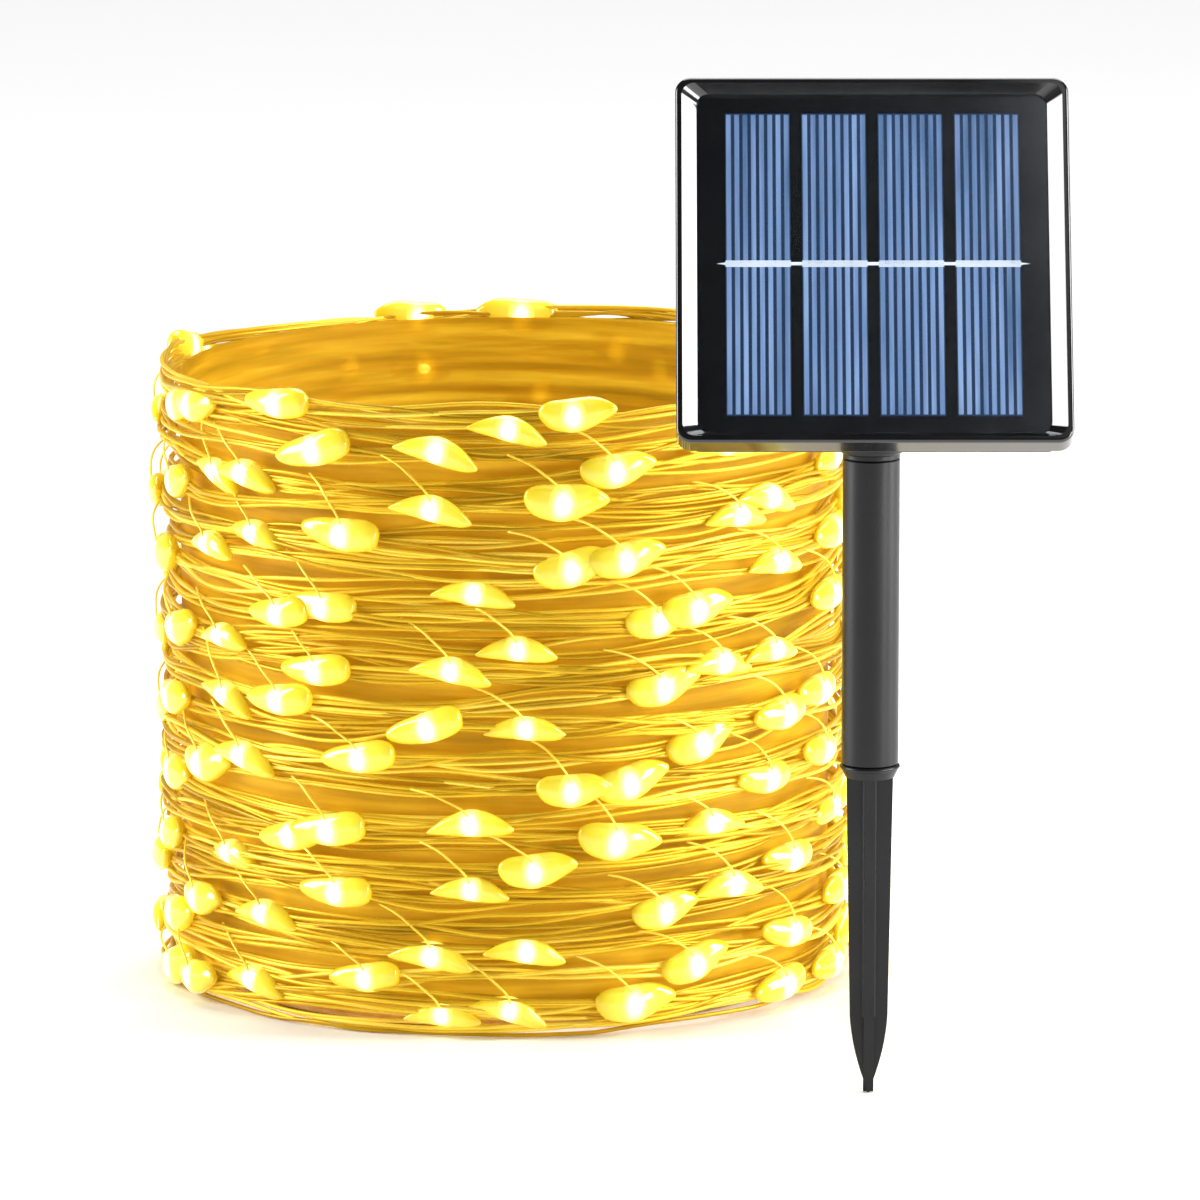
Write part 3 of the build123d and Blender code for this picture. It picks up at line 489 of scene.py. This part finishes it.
# ================================================================ the string
STRAND_RADIUS = 0.00058
STRAND_SIDES = 6
STRANDS = 5
DROP_COUNT = 200
DROPS_PER_TURN = 5.75
LAST_DROP = DROP_COUNT - 0.75
WIRE_RADIUS = 0.0932
COIL_TURNS = DROP_COUNT / DROPS_PER_TURN
LEVEL_TURNS = 0.9
GROUND_HEIGHT = 0.0022
LOWEST_TURN = 0.0028
HIGHEST_TURN = coil_high.z - GROUND_HEIGHT
ABOVE_HIGHEST = 0.0008
STRING_STEP = 0.004
SAG, RIPPLE, HEIGHT_JITTER = 0.0020, 0.0011, 0.0011
BULGE, RADIUS_JITTER = 0.0014, 0.0009

# from the splice out along the ground to the first turn: (turn in radians, radius)
RUN_TO_COIL = ((0.16, 0.0754), (0.34, 0.0785), (0.54, 0.0835), (0.76, 0.0890))
RUN_TURN = 1.0
start_turn = splice_turn + SPLICE_HALF / splice_radius
string_route = [on_coil(start_turn, splice_radius, splice_centre.z)]
string_route += [on_coil(start_turn + turned, radius, GROUND_HEIGHT) for turned, radius in RUN_TO_COIL]
winding_start = start_turn + RUN_TURN
# the string ends in its last drop
count = int(LAST_DROP / DROPS_PER_TURN * POINTS_PER_TURN)
draw = random.Random(7)
for step in range(count + 1):
    turned = step / POINTS_PER_TURN
    turn = winding_start + turned * 2 * math.pi
    # the first and last turns lie level, and every turn between sags, rises and spreads on its own
    climbed = min(max((turned - LEVEL_TURNS) / (COIL_TURNS - 2 * LEVEL_TURNS), 0), 1)
    rise = LOWEST_TURN + (HIGHEST_TURN - LOWEST_TURN) * climbed
    sway = (SAG * math.sin(turn + turned * 2.1) + RIPPLE * math.sin(turn * 3 + turned * 5.3)
            + draw.uniform(-HEIGHT_JITTER, HEIGHT_JITTER))
    height = min(max(rise + sway, GROUND_HEIGHT), HIGHEST_TURN + ABOVE_HIGHEST)
    radius = (WIRE_RADIUS + BULGE * math.sin(turned * 4.4 + 2 * turn)
              + draw.uniform(-RADIUS_JITTER, RADIUS_JITTER))
    string_route.append(on_coil(turn, radius, height))

string_line, string_along = spaced(spline_points(string_route), STRING_STEP)
string_length = float(string_along[-1])
tangent, outward, upward = frames_along(string_line, np.array(coil_centre))

# the strands wander apart and back: (spacing of the changes, amount, first seed)
BESIDE = (0.024, 0.0009, 20)
ABOVE = (0.031, 0.0020, 40)
TONE = (0.35, 0.45, 60)
MIDDLE_TONE = 0.5
STRAND_PITCH = 0.0008


def strand_wander(kind, number):
    spacing, amount, seed = kind
    return wander(string_length, len(string_line), spacing, amount, seed + number)


strands, strand_tones = [], []
for number in range(STRANDS):
    base = (number - (STRANDS - 1) / 2) * STRAND_PITCH
    beside = strand_wander(BESIDE, number)[:, None]
    above = (strand_wander(ABOVE, number) + base)[:, None]
    line = string_line + outward * beside + upward * above
    line[:, 2] = np.maximum(line[:, 2], STRAND_RADIUS)
    strands.append(tube_mesh(line, STRAND_RADIUS, STRAND_SIDES))
    strand_tones.append(np.repeat(MIDDLE_TONE + strand_wander(TONE, number), STRAND_SIDES))
points, faces = joined(strands)
light_string = mesh_object("light_string_wire", points, faces, wire_gold)
# each strand's tone: part random, part the wire's painted shade and highlight
strand_attribute = light_string.data.attributes.new("strand", "FLOAT", "POINT")
strand_attribute.data.foreach_set("value", np.concatenate(strand_tones).astype(np.float32))

# the drops' three shapes: rings of (place along, top, bottom, half depth) in millimetres about the chip
DROP_SHAPES = (
    ((-9.3, 2.5, -1.4, 1.2), (-7.0, 4.1, -4.3, 2.4), (-3.5, 4.5, -5.0, 3.2), (0.0, 4.9, -5.4, 3.8),
     (3.0, 5.4, -4.8, 3.5), (6.0, 5.6, -3.4, 2.9), (9.5, 4.4, -1.0, 2.0), (12.0, 2.9, 0.6, 1.0)),
    ((-11.2, -0.6, -1.6, 0.5), (-8.0, 1.6, -2.4, 1.6), (-3.8, 3.2, -3.0, 2.7), (0.0, 4.1, -3.8, 3.4),
     (4.4, 2.9, -4.3, 3.0), (7.8, 0.6, -4.6, 2.1), (10.6, -2.2, -3.8, 0.9)),
    ((-11.6, 1.2, -1.4, 0.8), (-9.8, 2.3, -2.7, 1.6), (-6.0, 3.6, -3.8, 2.6), (0.0, 4.3, -4.4, 3.6),
     (3.4, 5.2, -4.0, 3.4), (6.6, 5.3, -3.2, 2.7), (9.2, 4.0, -1.9, 1.9)),
)
# drops above each other are alike: the coil's columns take these shapes in turn
COLUMN_SHAPES = (0, 0, 1, 2, 2, 1)
COLUMNS = 23
DROP_SIDES = 12
TIP_BEYOND = 0.5
# how far a chip's glow reaches along, outward (right through) and up, in millimetres
CHIP_HALF = (2.6, 60.0, 3.9)
CHIP_OUT = 0.0012
CHIP_LOWEST = 0.0064
# ranges that each drop draws from; the tilt's spread is in degrees
DROP_PLACES = (0.15, 0.35)
DROP_TILT = 5
DROP_SIZES = (0.92, 1.06)
DROP_TONES = (0.82, 1.05)
DROP_GROUPS = 4
# the chip wires: the room they need below the top, how many drops have one, and their arch
HOOK_ROOM = 0.012
HOOK_SHARE = 0.8
HOOK_BACK = (0.010, 0.013)
HOOK_UP = (0.007, 0.010)
HOOK_RADIUS = 0.00034
HOOK_SIDES = 5
# the chip wires take the pale, painted-highlight end of the wire's tones
HOOK_TONE = 0.95
drop_draw = random.Random(11)


def drop_parts(shape):
    """Points of one drop about its chip, in millimetres: X along the wire, Y outward, Z up."""
    points, faces = [], []
    for along, top, bottom, depth in shape:
        for side in range(DROP_SIDES):
            turn = 2 * math.pi * side / DROP_SIDES
            height = (top + bottom) / 2 + (top - bottom) / 2 * math.sin(turn)
            points.append((along, depth * math.cos(turn), height))
    rings = len(shape)
    for ring in range(rings - 1):
        for side in range(DROP_SIDES):
            other = (side + 1) % DROP_SIDES
            low, high = ring * DROP_SIDES, (ring + 1) * DROP_SIDES
            faces.append((low + side, low + other, high + other, high + side))
    for ring, beyond, flip in ((0, -TIP_BEYOND, True), (rings - 1, TIP_BEYOND, False)):
        points.append((shape[ring][0] + beyond, 0, (shape[ring][1] + shape[ring][2]) / 2))
        tip = len(points) - 1
        for side in range(DROP_SIDES):
            other = (side + 1) % DROP_SIDES
            corner = (ring * DROP_SIDES + side, ring * DROP_SIDES + other)
            faces.append((corner[0], tip, corner[1]) if flip else (corner[0], corner[1], tip))
    return np.array(points), faces


def chip_wire(chip, along, out, up, size):
    """The fine wire that arches over from the turn above into the top of a drop's chip."""
    top = chip + up * 0.0026 * size + out * 0.0024
    back = drop_draw.uniform(*HOOK_BACK)
    rise = drop_draw.uniform(*HOOK_UP)
    line = spline_points([
        top - up * 0.002 - out * 0.0005,
        top + up * 0.0008,
        top - along * back * 0.45 + up * rise * 0.62 + out * 0.0002,
        top - along * back * 0.8 + up * rise * 0.95 - out * 0.0016,
        top - along * back * 1.2 + up * rise * 1.1 - out * 0.0042,
    ])
    return tube_mesh(line, HOOK_RADIUS, HOOK_SIDES)


drop_meshes = [drop_parts(shape) for shape in DROP_SHAPES]
drop_groups = [[] for _ in range(DROP_GROUPS)]
hook_parts = []
line_turn = np.unwrap(np.arctan2(string_line[:, 1] - coil_centre.y, string_line[:, 0] - coil_centre.x))
line_turn += start_turn - line_turn[0]
for number in range(DROP_COUNT):
    place = number + drop_draw.uniform(*DROP_PLACES)
    drop_turn = winding_start + place / DROPS_PER_TURN * 2 * math.pi
    index = int(np.argmin(np.abs(line_turn - drop_turn)))
    column = round(drop_turn / (2 * math.pi) * COLUMNS) % COLUMNS
    points, faces = drop_meshes[COLUMN_SHAPES[column % len(COLUMN_SHAPES)]]
    tilt = math.radians(drop_draw.gauss(0, DROP_TILT))
    size = drop_draw.uniform(*DROP_SIZES)
    lengthwise = tangent[index] * math.cos(tilt) + upward[index] * math.sin(tilt)
    across = upward[index] * math.cos(tilt) - tangent[index] * math.sin(tilt)
    axes = np.stack([lengthwise, outward[index], across])
    chip = string_line[index] + outward[index] * CHIP_OUT
    chip[2] = max(chip[2], CHIP_LOWEST)
    placed = chip + (points * size * MM) @ axes
    tone = drop_draw.uniform(*DROP_TONES)
    drop_groups[number % DROP_GROUPS].append((placed, faces, points / CHIP_HALF, tone))
    if chip[2] < HIGHEST_TURN - HOOK_ROOM and drop_draw.random() < HOOK_SHARE:
        hook_parts.append(chip_wire(chip, lengthwise, outward[index], across, size))

drop_objects = []
for number, group in enumerate(drop_groups):
    points, faces = joined([(placed, faces) for placed, faces, _, _ in group])
    drops = mesh_object(f"led_drops_{number + 1}", points, faces, resin)
    from_chip = np.concatenate([local for _, _, local, _ in group])
    chip_attribute = drops.data.attributes.new("from_chip", "FLOAT_VECTOR", "POINT")
    chip_attribute.data.foreach_set("vector", from_chip.astype(np.float32).ravel())
    tones = np.concatenate([[tone] * len(placed) for placed, _, _, tone in group])
    tone_attribute = drops.data.attributes.new("tone", "FLOAT", "POINT")
    tone_attribute.data.foreach_set("value", tones.astype(np.float32))
    smoother = drops.modifiers.new("rounded", "SUBSURF")
    smoother.levels = 1
    smoother.render_levels = 1
    drop_objects.append(drops)
points, faces = joined(hook_parts)
hooks = mesh_object("chip_wires", points, faces, wire_gold)
hook_tones = hooks.data.attributes.new("strand", "FLOAT", "POINT")
hook_tones.data.foreach_set("value", np.full(len(points), HOOK_TONE, np.float32))

# ================================================================ the cells' printed fingers
FINGERS = 8
FINGER_WIDTH = 0.00122
FINGER_PITCH = 0.0021
FINGER_RISE = 0.00004
FINGER_INSET = 0.0004
RECLINE = math.radians(31.7)
across_panel = np.array((1.0, 0.0, 0.0))
up_panel = np.array((0.0, math.sin(RECLINE), math.cos(RECLINE)))
out_panel = np.array((0.0, -math.cos(RECLINE), math.sin(RECLINE)))
cell_points = np.array([vertex.co[:] for vertex in nodes["solar_cells"].data.vertices])
cell_x = np.unique(np.round(cell_points[:, 0], 5))
cell_top = (cell_points @ out_panel).max()
cell_ends = (cell_points @ up_panel).min(), (cell_points @ up_panel).max()
finger_parts = []
for column in range(0, len(cell_x), 2):
    middle = (cell_x[column] + cell_x[column + 1]) / 2
    for finger in range(FINGERS):
        x = middle + (finger - (FINGERS - 1) / 2) * FINGER_PITCH
        corners = []
        for level in (0, FINGER_RISE):
            for side, end in ((-1, 0), (1, 0), (1, 1), (-1, 1)):
                inset = FINGER_INSET * (1 if end == 0 else -1)
                corners.append(across_panel * (x + side * FINGER_WIDTH / 2)
                               + up_panel * (cell_ends[end] + inset)
                               + out_panel * (cell_top + level))
        faces = [(4, 5, 6, 7), (3, 2, 1, 0), (0, 1, 5, 4), (1, 2, 6, 5), (2, 3, 7, 6), (3, 0, 4, 7)]
        finger_parts.append((corners, faces))
points, faces = joined(finger_parts)
fingers = mesh_object("cell_fingers", points, faces, finger_silver, False)

# ================================================================ who moves with what
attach(fingers, "solar_head")
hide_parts("lead_upper")
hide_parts("lead_lower", "lead_turns")
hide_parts("light_coil")
for drops in drop_objects:
    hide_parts("led_drops")
    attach(drops, "stake")
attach(hooks, "stake")
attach(light_string, "stake")
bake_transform(lead_upper)
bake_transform(lead_lower)

# ================================================================ floor and light
floor_material, floor_shader, floor_tree, floor_node = new_material("floor")
floor_place = floor_node("ShaderNodeTexCoord").outputs["Object"]
floor_noise = floor_node("ShaderNodeTexNoise", {"Vector": floor_place, "Scale": 6.0})
FLOOR_TONES = [(0.0, (0.93, 0.93, 0.93)), (1.0, (0.95, 0.95, 0.95))]
floor_tone = ramp(floor_node, floor_noise.outputs["Fac"], FLOOR_TONES)
floor_tree.links.new(floor_tone, floor_shader.inputs["Base Color"])
floor_shader.inputs["Roughness"].default_value = 0.9
FLOOR_CORNERS = [(-6, -6, 0), (6, -6, 0), (6, 6, 0), (-6, 6, 0)]
floor = mesh_object("floor", FLOOR_CORNERS, [(0, 1, 2, 3)], floor_material, False)
# just below the part, so that what stands on the ground doesn't share its plane
floor.location.z = -0.0002

# the studio is pale near the horizon and dim above, and the camera sees it as plain white
HORIZON, ZENITH = (0.1, 0.38), (0.5, 0.05)
world = bpy.data.worlds.new("studio")
scene.world = world
world.use_nodes = True
world_tree = world.node_tree
background = world_tree.nodes["Background"]
light_path = world_tree.nodes.new("ShaderNodeLightPath")
sky_place = world_tree.nodes.new("ShaderNodeTexCoord")
sky_axes = world_tree.nodes.new("ShaderNodeSeparateXYZ")
world_tree.links.new(sky_place.outputs["Generated"], sky_axes.inputs["Vector"])
sky_ramp = world_tree.nodes.new("ShaderNodeValToRGB")
world_tree.links.new(sky_axes.outputs["Z"], sky_ramp.inputs["Fac"])
for element, (place, tone) in zip(sky_ramp.color_ramp.elements, (HORIZON, ZENITH)):
    element.position = place
    element.color = (tone, tone, tone, 1)
backdrop = world_tree.nodes.new("ShaderNodeMix")
backdrop.data_type = "RGBA"
backdrop.inputs["B"].default_value = (1, 1, 1, 1)
world_tree.links.new(sky_ramp.outputs["Color"], backdrop.inputs["A"])
world_tree.links.new(light_path.outputs["Is Camera Ray"], backdrop.inputs["Factor"])
world_tree.links.new(backdrop.outputs["Result"], background.inputs["Color"])


def softbox(name, place, aim, width, height, power):
    data = bpy.data.lights.new(name, "AREA")
    data.shape = "RECTANGLE"
    data.size = width
    data.size_y = height
    data.energy = power
    made = add_object(name, data)
    made.location = place
    made.rotation_euler = (Vector(place) - Vector(aim)).to_track_quat("Z", "Y").to_euler()


# the first two stand where the side bevels of the head mirror them towards the camera
softbox("right_softbox", (1.36, 0.0, 0.68), (0.0, 0.0, 0.6), 0.42, 1.3, 30)
softbox("left_softbox", (-1.36, 0.0, 0.68), (0.0, 0.0, 0.6), 0.42, 1.3, 24)
softbox("front_softbox", (1.25, -0.85, 0.42), (0.0, 0.0, 0.2), 0.30, 0.8, 16)
# a dim card that the upper right corner of the panel mirrors
PANEL_RIGHT = np.array((0.05, -0.0108, 0.2188))
UP_TO_CORNER = 0.045
CARD_DISTANCE = 1.5
CARD_RIGHT = np.array((0.16, 0.0, 0.0))
CARD_ASIDE = -0.1
card_corner = PANEL_RIGHT + up_panel * UP_TO_CORNER
to_camera = np.array(camera.location) - card_corner
to_camera /= np.linalg.norm(to_camera)
mirrored = 2 * (to_camera @ out_panel) * out_panel - to_camera
card_place = (card_corner + mirrored * CARD_DISTANCE + CARD_RIGHT
              + np.cross(mirrored, (1, 0, 0)) * CARD_ASIDE)
softbox("corner_card", tuple(card_place), tuple(card_corner), 0.30, 0.5, 0.6)
overhead_data = bpy.data.lights.new("overhead", "SUN")
overhead_data.energy = 2.9
overhead_data.angle = math.radians(50)
overhead = add_object("overhead", overhead_data)
overhead.rotation_euler = Vector((0.1, 0.45, 0.9)).to_track_quat("Z", "Y").to_euler()
scene.view_settings.view_transform = "Standard"
